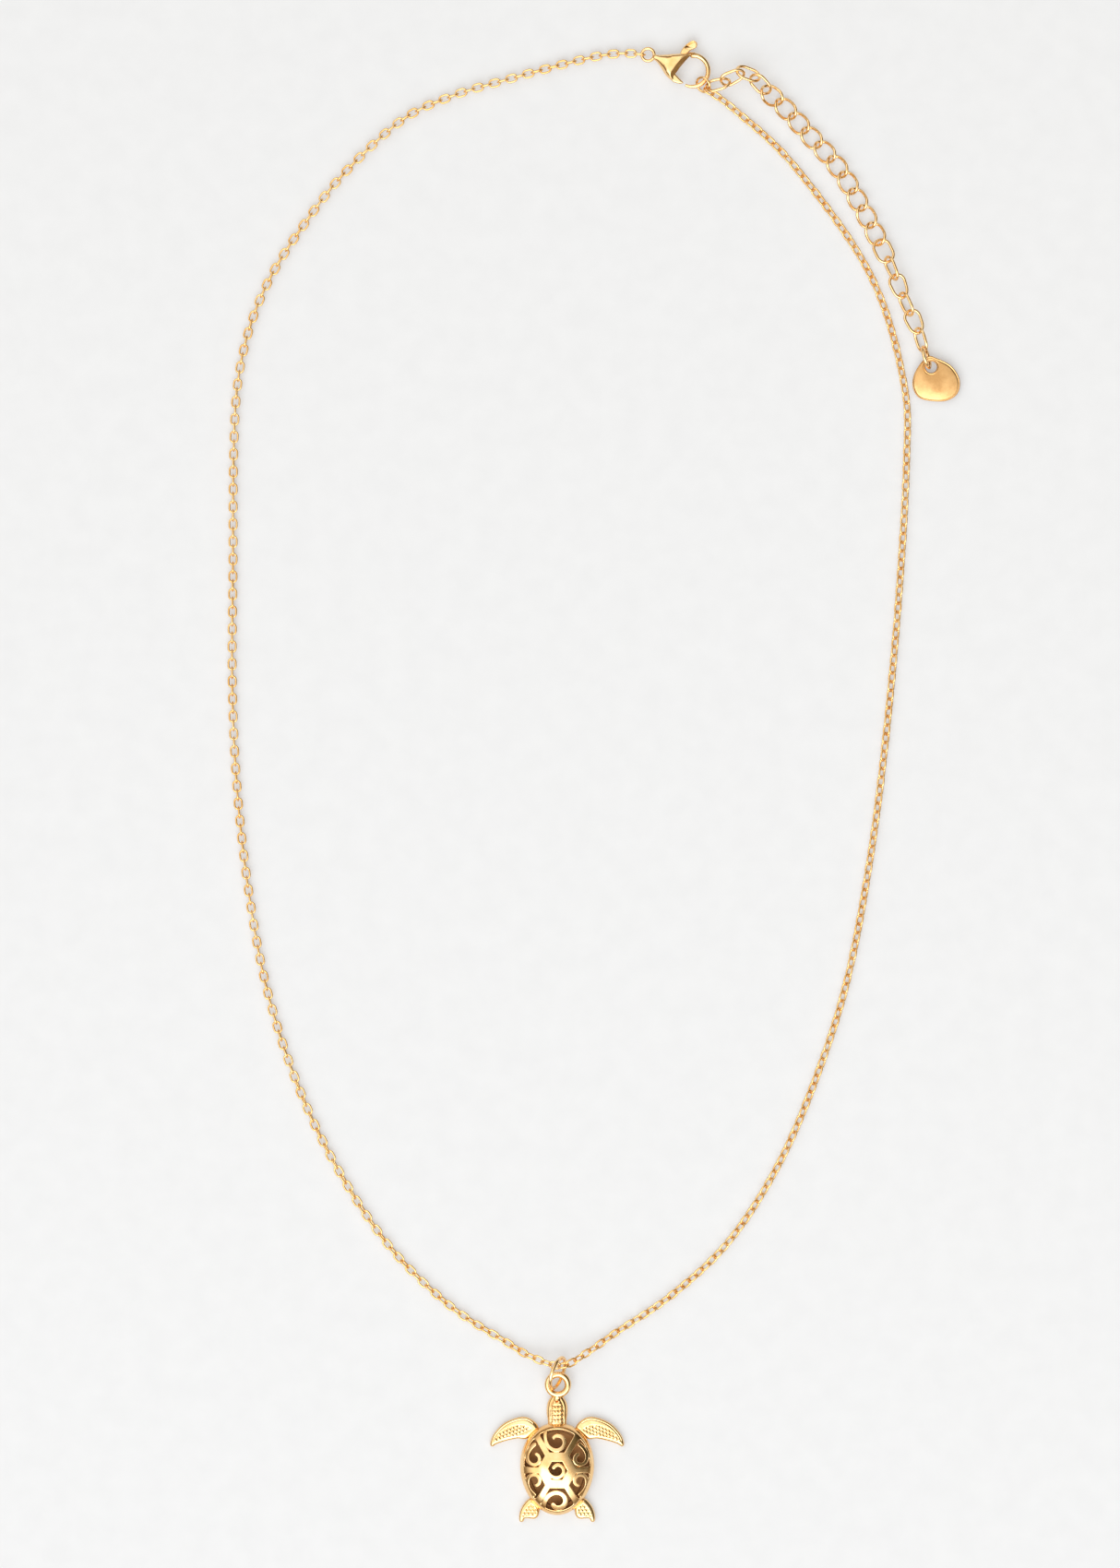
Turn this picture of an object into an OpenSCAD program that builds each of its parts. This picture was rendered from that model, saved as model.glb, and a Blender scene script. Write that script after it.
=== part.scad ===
// Pendant necklace: a fine cable chain with a lobster clasp, an extender chain with an end tag,
// and an openwork turtle pendant, laid out flat.
//
// Frame: the necklace lies on the plane z = 0, +Z up. +Y runs from the pendant to the clasp.
// The origin is at the middle of the whole layout, on the plane it lies on. Millimetres.

/* [Main chain] */
// Wire diameter of a chain link
chain_wire = 0.25; // [0.22:0.01:0.26]
// Outside width of a chain link
chain_link_width = 1.3; // [1.24:0.01:1.34]
// Distance between the centres of two chain links
chain_pitch = 1.22; // [1.2:0.01:1.24]
// Play between two chain links that are pulled straight
chain_play = 0.04; // [0.02:0.01:0.06]
// Turn of the right branch's links about the chain, against the left branch's
chain_twist = 45; // [30:5:45]

/* [Extender chain] */
// Wire diameter of an extender link
extender_wire = 0.42; // [0.38:0.01:0.44]
// Outside length of an extender link
extender_link_length = 3.8; // [3.78:0.01:3.84]
// Outside width of an extender link
extender_link_width = 2.85; // [2.8:0.01:2.9]

/* [Lobster clasp] */
// Outside radius of the clasp's hook
hook_radius = 2.53; // [2.48:0.01:2.56]
// Thickness of the clasp's body
clasp_thickness = 2.1; // [2:0.05:2.2]
// Thickness of the lever inside the body
lever_thickness = 0.9; // [0.8:0.05:1]

/* [End tag] */
// Thickness of the end tag
tag_thickness = 0.7; // [0.6:0.05:0.8]
// Diameter of the hole in the end tag
tag_hole = 1.6; // [1.55:0.05:1.7]

/* [Pendant] */
// Length of the turtle's shell
shell_length = 12.9; // [12.7:0.1:13.1]
// Width of the turtle's shell
shell_width = 10.3; // [10.1:0.1:10.5]
// Height of the top of the shell
shell_height = 3.8; // [3.6:0.1:4]
// Thickness of the shell's metal
shell_metal = 0.6; // [0.5:0.05:0.7]
// Height of the flat base that carries head and flippers
base_height = 0.6; // [0.5:0.05:0.65]
// Diameter of the hole in the turtle's loop
loop_hole = 2; // [1.95:0.05:2.05]

/* [Hidden] */
$fn = 48;
GOLD = "#e6b566";
PALE_GOLD = "#f2cd86";
DEEP_GOLD = "#c98f3f";
STEEL = "#b9b2a6";

CHAIN_SECTIONS = 8;
EXTENDER_LINKS = 20;

// ---------------------------------------------------------------- curves

// Point of a Catmull-Rom curve between b and c
function curve_point(a, b, c, d, t) =
    (2 * b + (c - a) * t + (2 * a - 5 * b + 4 * c - d) * t ^ 2 + (3 * b - a - 3 * c + d) * t ^ 3) / 2;

// Smooth open line through points, with steps points for each stretch
function smooth_line(points, steps) =
    let (last = len(points) - 1)
    concat(
        [for (i = [0:last - 1], k = [0:steps - 1])
            curve_point(points[max(i - 1, 0)], points[i], points[i + 1],
                points[min(i + 2, last)], k / steps)],
        [points[last]]);

// Smooth closed outline through points
function smooth_loop(points, steps) =
    let (n = len(points))
    [for (i = [0:n - 1], k = [0:steps - 1])
        curve_point(points[(i + n - 1) % n], points[i], points[(i + 1) % n],
            points[(i + 2) % n], k / steps)];

// Length of a line up to each of its points
function lengths_along(line) =
    [for (i = 0, s = 0; i < len(line);
        s = s + (i + 1 < len(line) ? norm(line[i + 1] - line[i]) : 0), i = i + 1) s];

// Table of one coordinate against the length along a line
function coordinate_table(line, lengths, axis) =
    [for (i = [0:len(line) - 1]) [lengths[i], line[i][axis]]];

// The three coordinate tables of a line
function route_tables(line) =
    let (lengths = lengths_along(line))
    [for (axis = [0:2]) coordinate_table(line, lengths, axis)];

function point_at(tables, s) = [for (table = tables) lookup(s, table)];
function route_length(tables) = tables[0][len(tables[0]) - 1][0];

// Places a child that lies along +X at a length along a route, rolled about the route
module on_route(tables, s, roll, lift = 0) {
    reach = 0.4;
    way = point_at(tables, s + reach) - point_at(tables, s - reach);
    translate(point_at(tables, s) + [0, 0, lift])
        rotate([roll, -asin(way.z / norm(way)), atan2(way.y, way.x)])
            children();
}

// ---------------------------------------------------------------- rings

// Oval ring of round wire in the XY plane, its long way along X
module oval_ring(length, width, wire) {
    radius = (width - wire) / 2;
    straight = length - width;
    for (side = [-1, 1]) {
        translate([side * straight / 2, 0, 0])
            rotate([0, 0, -90 * side])
                rotate_extrude(angle = 180)
                    translate([radius, 0])
                        circle(d = wire);
        translate([-straight / 2, side * radius, 0])
            rotate([0, 90, 0])
                cylinder(d = wire, h = straight);
    }
}

// Round ring of round wire in the XY plane, measured at the middle of its wire
module round_ring(radius, wire) {
    rotate_extrude()
        translate([radius, 0])
            circle(d = wire);
}

// ---------------------------------------------------------------- main chain

// Route of the main chain from the clasp's eye, through the pendant ring, to the connector
// ring: x, y, and how far the chain is lifted off the plane it lies on
CHAIN_ROUTE = [
    [6.9, 101.6, 0.4], [3.5, 101.8, 0], [-1.5, 101, 0], [-12, 98.2, 0], [-20, 95.8, 0],
    [-27, 92.4, 0], [-35, 85, 0], [-40.5, 78, 0], [-45, 71, 0], [-48, 64, 0],
    [-49.8, 56, 0], [-50.4, 46, 0], [-50.5, 30, 0], [-50.6, 14, 0], [-50, 0, 0],
    [-48.5, -14, 0], [-46, -28, 0], [-42, -41, 0], [-36.5, -53, 0], [-29, -64.5, 0],
    [-20.5, -73, 0], [-12.5, -78.2, 0], [-8.8, -80.3, 0.7], [-4.6, -81.5, 1.5], [-1.1, -79.8, 0.7],
    [3, -77, 0], [11, -71.6, 0], [19, -64, 0], [26, -53, 0], [31.5, -40, 0],
    [35.5, -27, 0], [38.5, -11, 0], [40.6, 5, 0], [42.4, 24, 0], [43.6, 44, 0],
    [43.2, 56, 0], [38.5, 71, 0], [28, 86, 0], [19.5, 94, 0.2], [15.5, 96.8, 0.6]];
CURVE_STEPS = 10;
// The links ride a little above the plane where the chain bends and climbs
CHAIN_RISE = 0.06;

chain_tables = route_tables(smooth_line(CHAIN_ROUTE, CURVE_STEPS));
chain_length = route_length(chain_tables);
chain_links = round(chain_length / chain_pitch);
chain_spacing = chain_length / chain_links;
chain_link_length = chain_pitch + 2 * chain_wire + chain_play;

// The links' turn about the chain grows from none on the left to chain_twist on the right
function chain_turn(s) =
    let (share = min(max(s / chain_length * 4 - 1.5, 0), 1))
    chain_twist * share;

// Height of the chain's middle where links turned by roll and roll + 90 touch the plane
function chain_height(roll) =
    CHAIN_RISE + chain_wire / 2 + (chain_link_width - chain_wire) / 2 * max(abs(sin(roll)), abs(cos(roll)));

module chain_link(i) {
    s = (i + 0.5) * chain_spacing;
    turn = chain_turn(s);
    on_route(chain_tables, s, turn + 90 * ((i + 1) % 2), chain_height(turn))
        oval_ring(chain_link_length, chain_link_width, chain_wire);
}

module main_chain(section) {
    first = floor((section - 1) * chain_links / CHAIN_SECTIONS);
    last = floor(section * chain_links / CHAIN_SECTIONS) - 1;
    color(GOLD)
        for (i = [first:last])
            chain_link(i);
}

// ---------------------------------------------------------------- lobster clasp

// The clasp lies in its own frame: the eye at the origin, the hook's middle along +X
CLASP_PLACE = [7.5, 101.6, 1.05];
CLASP_TURN = -20;
EYE_RADIUS = 0.87;
EYE_WIRE = 0.38;
HOOK_WIRE = 0.7;
hook_x = 6.6;
hook_middle = hook_radius - HOOK_WIRE / 2;
// Where the hook starts on the body and where its tip ends, as angles about its middle
HOOK_START = 108;
HOOK_END = -97;
PIVOT = [4, -0.1];
PIVOT_RADIUS = 0.25;
LEVER_CLEARANCE = 0.08;

module in_clasp() {
    translate(CLASP_PLACE)
        rotate([0, 0, CLASP_TURN])
            children();
}

// Outline of the closed clasp's body, from the neck along the back and over the mouth
module clasp_outline() {
    polygon(smooth_line([
        [0.9, 0.3], [2.2, 0.75], [3.6, 1.4], [5.3, 2.2], [5.9, 2.42],
        [5.9, 1.75], [5.2, 0.9], [4.6, -0.3], [4.3, -1.7], [4, -2.2],
        [3.1, -1.85], [2, -1.15], [0.9, -0.3]], 6));
}

module clasp_body() {
    color(PALE_GOLD)
        in_clasp() {
            round_ring(EYE_RADIUS, EYE_WIRE);
            difference() {
                translate([0, 0, -clasp_thickness / 2])
                    linear_extrude(clasp_thickness)
                        clasp_outline();
                // hollow for the lever and its spring, open towards the mouth and the tab
                translate([2.4, -4, -lever_thickness / 2 - LEVER_CLEARANCE])
                    cube([6, 8, lever_thickness + 2 * LEVER_CLEARANCE]);
                translate([PIVOT.x, PIVOT.y, -clasp_thickness])
                    cylinder(r = PIVOT_RADIUS, h = 2 * clasp_thickness);
            }
            translate([hook_x, 0, 0])
                rotate([0, 0, HOOK_END])
                    rotate_extrude(angle = HOOK_START - HOOK_END)
                        translate([hook_middle, 0])
                            circle(d = HOOK_WIRE);
            // root of the hook, run into the two cheeks of the body
            translate([hook_x + hook_middle * cos(HOOK_START), hook_middle * sin(HOOK_START), 0])
                difference() {
                    cylinder(d = HOOK_WIRE, h = clasp_thickness, center = true);
                    translate([-2, -1, -lever_thickness / 2 - LEVER_CLEARANCE])
                        cube([2, 2, lever_thickness + 2 * LEVER_CLEARANCE]);
                }
        }
}

module clasp_pin() {
    color(DEEP_GOLD)
        in_clasp()
            translate([PIVOT.x, PIVOT.y, 0])
                cylinder(r = PIVOT_RADIUS, h = clasp_thickness, center = true);
}

// Small torsion spring on the neck side of the lever, in the body's hollow
module clasp_spring() {
    coil = 0.28;
    wire = 0.14;
    color(STEEL)
        in_clasp()
            translate([3, 0.25, 0]) {
                for (turn = [-2:2])
                    translate([0, 0, turn * wire])
                        round_ring(coil, wire);
                translate([-coil, 0, -2 * wire])
                    rotate([90, 0, -8])
                        cylinder(d = wire, h = 0.8);
                translate([coil, 0, 2 * wire])
                    rotate([90, 0, 8])
                        cylinder(d = wire, h = 1);
            }
}

module lever_outline() {
    polygon(smooth_loop([
        [4.2, 1.1], [4.2, 2.1], [4.6, 3.2], [5.2, 3.95], [5.9, 3.8], [5.9, 3.15],
        [5.25, 2.4], [5.15, 1.2], [4.8, 0.2], [4.75, -0.9], [5.7, -1.85], [5.2, -2.3],
        [4.3, -2.3], [3.8, -1.4], [3.5, -0.3], [3.7, 0.5]], 5));
}

module clasp_lever() {
    color(GOLD)
        in_clasp()
            difference() {
                translate([0, 0, -lever_thickness / 2])
                    linear_extrude(lever_thickness)
                        lever_outline();
                translate([PIVOT.x, PIVOT.y, -clasp_thickness])
                    cylinder(r = PIVOT_RADIUS, h = 2 * clasp_thickness);
            }
}

// ---------------------------------------------------------------- connector ring

CONNECTOR_PLACE = [15.2, 97.4, 1.1];
CONNECTOR_RADIUS = 1.07;
CONNECTOR_WIRE = 0.36;
// The ring leans about the line from the hook's middle through its own middle
CONNECTOR_TURN = -54;
CONNECTOR_LEAN = 43;

module connector_ring() {
    color(GOLD)
        translate(CONNECTOR_PLACE)
            rotate([0, 0, CONNECTOR_TURN])
                rotate([CONNECTOR_LEAN, 0, 0])
                    round_ring(CONNECTOR_RADIUS, CONNECTOR_WIRE);
}

// ---------------------------------------------------------------- extender chain

// Route of the extender from the connector ring to the tag ring: x, y and height
EXTENDER_ROUTE = [
    [15.6, 97.3, 1.55], [17.4, 97.4, 1.8], [19.4, 98.4, 2.3], [21.2, 98.9, 2.3], [22.7, 97.9, 2],
    [24.2, 96.3, 1.3], [26.2, 94.6, 0.9], [30.1, 90.3, 0.8], [34, 85.9, 0.8], [37, 80.9, 0.8],
    [39.6, 75.9, 0.8], [41.6, 71.5, 1.4], [43.3, 67.3, 1.35], [45, 63.5, 1.35], [46.05, 60.1, 1.35]];
extender_tables = route_tables(smooth_line(EXTENDER_ROUTE, CURVE_STEPS));
extender_length = route_length(extender_tables);

// The first links are bunched at the clasp, the last ones lie loosely turned
BUNCHED_LINKS = 4;
BUNCHED_PITCH = 2.3;
LOOSE_FROM = 15;
BUNCHED_ROLLS = [45, -45];
CURB_ROLLS = [27, -27];
LOOSE_ROLLS = [62, -12];
extender_inset = extender_link_length / 2 - extender_wire / 2;
extender_pitch =
    (extender_length - 2 * extender_inset - BUNCHED_LINKS * BUNCHED_PITCH)
    / (EXTENDER_LINKS - 1 - BUNCHED_LINKS);

function extender_rolls(i) =
    i <= BUNCHED_LINKS ? BUNCHED_ROLLS : i < LOOSE_FROM ? CURB_ROLLS : LOOSE_ROLLS;
function extender_place(i) =
    extender_inset + min(i - 1, BUNCHED_LINKS) * BUNCHED_PITCH
    + max(i - 1 - BUNCHED_LINKS, 0) * extender_pitch;

module extender_link(i) {
    color(i % 2 == 0 ? GOLD : PALE_GOLD)
        on_route(extender_tables, extender_place(i), extender_rolls(i)[i % 2])
            oval_ring(extender_link_length, extender_link_width, extender_wire);
}

// ---------------------------------------------------------------- end tag

TAG_RING_PLACE = [46.35, 59.3, 1.75];
TAG_RING_RADIUS = 1.5;
TAG_RING_WIRE = 0.5;
TAG_RING_TURN = 16;
TAG_RING_LEAN = 14;
TAG_HOLE_PLACE = [47.05, 57.95, 1.1];
TAG_TILT = 5;

module tag_ring() {
    color(DEEP_GOLD)
        translate(TAG_RING_PLACE)
            rotate([0, 0, TAG_RING_TURN])
                rotate([0, 90 - TAG_RING_LEAN, 0])
                    round_ring(TAG_RING_RADIUS, TAG_RING_WIRE);
}

module end_tag() {
    color(PALE_GOLD)
        translate(TAG_HOLE_PLACE)
            rotate([TAG_TILT, 0, 0])
                translate([0, 0, -tag_thickness / 2])
                    linear_extrude(tag_thickness)
                        difference() {
                            polygon(smooth_loop([
                                [-0.6, 1.45], [0.9, 1.2], [2.9, 0.1], [4, -1.8], [3.7, -3.7], [2.2, -4.7],
                                [0, -4.75], [-1.8, -4.2], [-2.6, -2.6], [-2.2, -0.6]], 6));
                            circle(d = tag_hole);
                        }
}

// ---------------------------------------------------------------- pendant ring

PENDANT_RING_PLACE = [-5.15, -82.5, 2.4];
PENDANT_RING_RADIUS = 2.22;
PENDANT_RING_WIRE = 0.54;
PENDANT_RING_TURN = -18;
PENDANT_RING_LEAN = -21;

module pendant_ring() {
    color(DEEP_GOLD)
        translate(PENDANT_RING_PLACE)
            rotate([0, 0, PENDANT_RING_TURN])
                rotate([0, 90 + PENDANT_RING_LEAN, 0])
                    round_ring(PENDANT_RING_RADIUS, PENDANT_RING_WIRE);
}

// ---------------------------------------------------------------- turtle

// The turtle has its own frame: the middle of its shell at the origin, its head along +Y
TURTLE_PLACE = [-5.2, -96, 0];
SHELL_RADIUS = 9.5;
RIM_WIDTH = 0.6;
SPOKE_WIDTH = 1;
HEXAGON_RADIUS = 1.33;
// Scrolls that fill the windows: width of the band, radius at its inner end, number of turns
SCROLL_WIDTH = 0.42;
SCROLL_INNER = 0.35;
SCROLL_TURNS = 1.15;
PLATE_RADIUS = 2.3;
LOOP_PLACE = [0.1, 11.8];
LOOP_BOTTOM = 0.8;
LOOP_THICKNESS = 0.9;
LOOP_OUTSIDE = 3.75;
FLIPPER_HEIGHT = 1.1;
HEAD_HEIGHT = 1.7;
BACK_THICKNESS = 0.3;
// How far the base's rim reaches inside the shell's metal
BASE_LEDGE = 0.6;

module in_turtle() {
    translate(TURTLE_PLACE)
        children();
}

// Egg-shaped outline of the shell, blunt towards the head, smaller all round by inset
module egg(inset = 0) {
    half_width = shell_width / 2 - inset;
    half_length = shell_length / 2 - inset;
    polygon([for (a = [0:6:354])
        [half_width * cos(a) * (1 + 0.08 * sin(a)), half_length * sin(a)]]);
}

// Solid with the shell's outer form, smaller all round by inset
module egg_dome(inset = 0) {
    intersection() {
        linear_extrude(shell_height)
            egg(inset);
        translate([0, 0, shell_height - SHELL_RADIUS])
            sphere(r = SHELL_RADIUS - inset, $fn = 96);
    }
}

// Band of a spiral about the origin, from a wide outer turn to a narrow inner end
module spiral(outer, inner, width, start, turns) {
    steps = 18;
    last = steps - 1;
    function radius(k) = outer + (inner - outer) * k / last;
    function direction(k) = [cos(start + 360 * turns * k / last), sin(start + 360 * turns * k / last)];
    polygon(concat(
        [for (k = [0:last]) (radius(k) + width / 2) * direction(k)],
        [for (k = [last:-1:0]) (radius(k) - width / 2) * direction(k)]));
}

// One window between two spokes, as a fan between two angles
module window(from, to) {
    intersection() {
        egg(RIM_WIDTH);
        difference() {
            polygon([
                PLATE_RADIUS * [cos(from), sin(from)],
                shell_length * [cos(from), sin(from)],
                shell_length * [cos(to), sin(to)],
                PLATE_RADIUS * [cos(to), sin(to)]]);
            for (edge = [from, to])
                rotate(edge)
                    translate([0, -SPOKE_WIDTH / 2])
                        square([shell_length, SPOKE_WIDTH]);
        }
    }
}

SPOKES = [0, 58, 122, 180, 238, 302];
// Middle of the spiral in each window, its radius, and the angle at which it leaves the rim
WINDOW_SPIRALS = [
    [[3.05, 1.75], 1.35, 20], [[0.1, 3.95], 1.85, 100], [[-3.05, 1.75], 1.35, 140],
    [[-3.05, -1.65], 1.35, 200], [[0.1, -4.1], 1.7, 250], [[3.05, -1.65], 1.35, 320]];

module shell_pattern() {
    difference() {
        egg();
        for (i = [0:5])
            window(SPOKES[i], i < 5 ? SPOKES[i + 1] : 360);
        circle(r = HEXAGON_RADIUS, $fn = 6);
    }
    for (s = WINDOW_SPIRALS)
        translate(s[0])
            spiral(s[1], SCROLL_INNER, SCROLL_WIDTH, s[2], SCROLL_TURNS);
    spiral(HEXAGON_RADIUS, SCROLL_INNER, SCROLL_WIDTH, 100, SCROLL_TURNS);
}

module turtle_shell() {
    color(GOLD)
        in_turtle()
            intersection() {
                difference() {
                    egg_dome();
                    egg_dome(shell_metal);
                    translate([0, 0, -1])
                        linear_extrude(1 + base_height)
                            square(2 * shell_length, center = true);
                }
                linear_extrude(shell_height)
                    shell_pattern();
            }
}

FRONT_FLIPPER = [
    [2.6, 5.6], [3.5, 6.9], [5, 7.3], [7.3, 6.5], [8.9, 4.9], [9.35, 3.1],
    [8.7, 3.5], [7.2, 3.9], [5.6, 4.3], [4.2, 4.2]];
HIND_FLIPPER = [
    [3.7, -4.1], [4.8, -5.1], [5.3, -6.4], [5.25, -7.5], [4.6, -7.1], [3.1, -7],
    [2.5, -6.3], [2.6, -5]];
HEAD = [
    [-1.3, 5.6], [-1.47, 7.4], [-1.4, 8.9], [-0.85, 10], [0, 10.35], [0.85, 10],
    [1.4, 8.9], [1.47, 7.4], [1.3, 5.6]];

module flippers() {
    for (side = [0, 1])
        mirror([side, 0, 0])
            linear_extrude(FLIPPER_HEIGHT) {
                polygon(smooth_loop(FRONT_FLIPPER, 5));
                polygon(smooth_loop(HIND_FLIPPER, 5));
            }
}

// Loop above the head, raised so that the pendant ring passes under its rim
module turtle_loop() {
    translate([LOOP_PLACE.x, LOOP_PLACE.y, LOOP_BOTTOM])
        difference() {
            union() {
                cylinder(d = LOOP_OUTSIDE, h = LOOP_THICKNESS);
                translate([-0.5, -2.2, 0])
                    cube([1, 1, LOOP_THICKNESS]);
            }
            translate([0, 0, -1])
                cylinder(d = loop_hole, h = LOOP_THICKNESS + 2);
        }
}

module turtle_base() {
    color(PALE_GOLD)
        in_turtle() {
            difference() {
                union() {
                    linear_extrude(base_height)
                        egg();
                    flippers();
                    linear_extrude(HEAD_HEIGHT)
                        polygon(smooth_line(HEAD, 5));
                }
                // clear of the shell above, hollow in the middle down to the thin back
                translate([0, 0, base_height])
                    linear_extrude(shell_height)
                        egg();
                translate([0, 0, BACK_THICKNESS])
                    linear_extrude(base_height)
                        egg(shell_metal + BASE_LEDGE);
            }
            turtle_loop();
        }
}

// ---------------------------------------------------------------- nodes

for (i = [1:CHAIN_SECTIONS])
    main_chain(i);
clasp_body();
clasp_pin();
clasp_spring();
clasp_lever();
connector_ring();
for (i = [1:EXTENDER_LINKS])
    extender_link(i);
tag_ring();
end_tag();
pendant_ring();
turtle_base();
turtle_shell();
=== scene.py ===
"""Pendant necklace, laid flat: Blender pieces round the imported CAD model.

Lengths inside the piece builders are millimetres; add_piece turns them into metres.
"""
import math

import bpy
import numpy as np
from mathutils import Matrix, Vector


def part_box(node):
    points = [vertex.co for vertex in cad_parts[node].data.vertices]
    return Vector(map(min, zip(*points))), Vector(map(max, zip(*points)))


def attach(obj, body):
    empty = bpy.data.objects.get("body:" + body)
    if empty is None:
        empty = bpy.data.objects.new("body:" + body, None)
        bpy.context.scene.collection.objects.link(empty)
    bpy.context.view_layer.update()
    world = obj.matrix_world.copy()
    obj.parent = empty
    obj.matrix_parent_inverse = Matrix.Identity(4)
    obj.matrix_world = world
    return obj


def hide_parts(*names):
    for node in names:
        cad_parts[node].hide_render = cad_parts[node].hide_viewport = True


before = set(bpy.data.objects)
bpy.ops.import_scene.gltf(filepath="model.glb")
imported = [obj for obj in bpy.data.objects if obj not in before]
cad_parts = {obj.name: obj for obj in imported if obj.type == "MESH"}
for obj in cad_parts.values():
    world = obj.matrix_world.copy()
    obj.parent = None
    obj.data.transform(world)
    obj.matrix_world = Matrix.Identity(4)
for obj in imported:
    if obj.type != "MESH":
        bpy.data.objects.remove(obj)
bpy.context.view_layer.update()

MM = 0.001
rng = np.random.default_rng(7)
scene = bpy.context.scene


# ---------------------------------------------------------------- camera

PICTURE_HEIGHT = 0.2193     # metres of the table that the picture's long side covers
CAMERA_HEIGHT = 1.1         # metres
SENSOR = 36.0
PICTURE_MIDDLE = (-0.0048, -0.0003)


def make_camera():
    """Straight down on the table, with the clasp at the top of the picture."""
    data = bpy.data.cameras.new("camera")
    data.sensor_width = SENSOR
    data.lens = SENSOR * CAMERA_HEIGHT / PICTURE_HEIGHT
    data.clip_start = 0.01
    data.clip_end = 10
    camera = bpy.data.objects.new("camera", data)
    camera.location = (*PICTURE_MIDDLE, CAMERA_HEIGHT)
    scene.collection.objects.link(camera)
    scene.camera = camera


make_camera()


# ---------------------------------------------------------------- materials

# Texture scales, in repeats for each metre
SCRATCH_SCALE = (9000, 600, 9000)
SCRATCH_DIRECTION = (0.3, 0.2, 0.6)
PORE_SCALE = 9000
DRAWING_MARK_SCALE = 12000
PAPER_SCALE = 300
# Depths of the relief in the finish, in millimetres
SCRATCH_DEPTH = 0.004
PORE_DEPTH = 0.01


class Nodes:
    """Short hand for building a node tree."""

    def __init__(self, tree):
        self.tree = tree
        tree.nodes.clear()

    def add(self, kind, inputs=(), **settings):
        """New node; a node socket among its inputs is linked, anything else is a plain value."""
        node = self.tree.nodes.new(kind)
        for name, value in settings.items():
            setattr(node, name, value)
        for name, value in dict(inputs).items():
            if isinstance(value, bpy.types.NodeSocket):
                self.tree.links.new(value, node.inputs[name])
            else:
                node.inputs[name].default_value = value
        return node

    def ramp(self, value, stops):
        """Colour ramp over value, with (place, colour) stops."""
        node = self.add("ShaderNodeValToRGB", {"Fac": value})
        elements = node.color_ramp.elements
        while len(elements) < len(stops):
            elements.new(0.5)
        for element, (place, colour) in zip(elements, stops):
            element.position = place
            element.color = (*colour, 1) if len(colour) == 3 else (colour[0],) * 3 + (1,)
        return node.outputs["Color"]


def new_material(name):
    """Material with an empty node tree."""
    material = bpy.data.materials.new(name)
    material.use_nodes = True
    return material, Nodes(material.node_tree)


def gold(name, deep, pale, roughness, patch_size, scratch=0.15, grain=0.05):
    """Polished gold-tone plating: slow drifts of colour and gloss, fine scratches and a cast grain.

    deep and pale are the ends of the colour's drift, roughness the two ends of the gloss,
    patch_size the size of a patch in millimetres.
    """
    material, n = new_material(name)
    place = n.add("ShaderNodeTexCoord").outputs["Object"]
    patches = n.add("ShaderNodeTexNoise",
                    {"Vector": place, "Scale": 1 / (patch_size * MM), "Detail": 4, "Roughness": 0.6})
    colour = n.ramp(patches.outputs["Fac"], [(0.36, deep), (0.62, pale)])
    gloss = n.add("ShaderNodeMapRange",
                  {"Value": patches.outputs["Fac"], "From Min": 0.35, "From Max": 0.65,
                   "To Min": roughness[0], "To Max": roughness[1]})
    stretched = n.add("ShaderNodeMapping", {"Vector": place, "Rotation": SCRATCH_DIRECTION,
                                            "Scale": SCRATCH_SCALE})
    scratches = n.add("ShaderNodeTexNoise",
                      {"Vector": stretched.outputs["Vector"], "Scale": 1.0, "Detail": 2})
    pores = n.add("ShaderNodeTexNoise", {"Vector": place, "Scale": PORE_SCALE, "Detail": 3})
    scratched = n.add("ShaderNodeBump", {"Height": scratches.outputs["Fac"], "Strength": scratch,
                                         "Distance": SCRATCH_DEPTH * MM})
    grained = n.add("ShaderNodeBump", {"Height": pores.outputs["Fac"], "Strength": grain,
                                       "Distance": PORE_DEPTH * MM,
                                       "Normal": scratched.outputs["Normal"]})
    shader = n.add("ShaderNodeBsdfPrincipled",
                   {"Base Color": colour, "Metallic": 1.0, "Roughness": gloss.outputs["Result"],
                    "Normal": grained.outputs["Normal"]})
    n.add("ShaderNodeOutputMaterial", {"Surface": shader.outputs["BSDF"]})
    return material


DEEP_GOLD = (0.92, 0.57, 0.24)
PALE_GOLD = (0.98, 0.69, 0.36)
chain_gold = gold("chain_gold", (0.92, 0.54, 0.19), (0.97, 0.65, 0.29), (0.14, 0.24), 3.0)
findings_gold = gold("findings_gold", DEEP_GOLD, PALE_GOLD, (0.10, 0.18), 1.5)
pendant_gold = gold("pendant_gold", DEEP_GOLD, PALE_GOLD, (0.12, 0.20), 2.0, grain=0.12)
# Dark, rough gold on the hollow turtle's inner faces: painted shade for the dome's underside and the
# base under it, where little light falls
painted_shade_gold = gold("painted_shade_gold", (0.42, 0.20, 0.07), (0.52, 0.27, 0.11), (0.5, 0.6), 1.2, grain=0.5)
# Same gold plating as the other pieces, painted much darker: the darkness is painted shade
painted_shade_tag_gold = gold("painted_shade_tag_gold", (0.55, 0.31, 0.12), (0.69, 0.42, 0.18), (0.16, 0.24), 2.5, scratch=0.3)


def spring_steel():
    """Drawn steel wire: darker along the drawing marks."""
    material, n = new_material("spring_steel")
    place = n.add("ShaderNodeTexCoord").outputs["Object"]
    marks = n.add("ShaderNodeTexNoise", {"Vector": place, "Scale": DRAWING_MARK_SCALE, "Detail": 2})
    colour = n.ramp(marks.outputs["Fac"], [(0.3, (0.42, 0.41, 0.39)), (0.7, (0.62, 0.61, 0.58))])
    shader = n.add("ShaderNodeBsdfPrincipled",
                   {"Base Color": colour, "Metallic": 1.0, "Roughness": 0.3})
    n.add("ShaderNodeOutputMaterial", {"Surface": shader.outputs["BSDF"]})
    return material


spring_metal = spring_steel()


# ---------------------------------------------------------------- pieces

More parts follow.
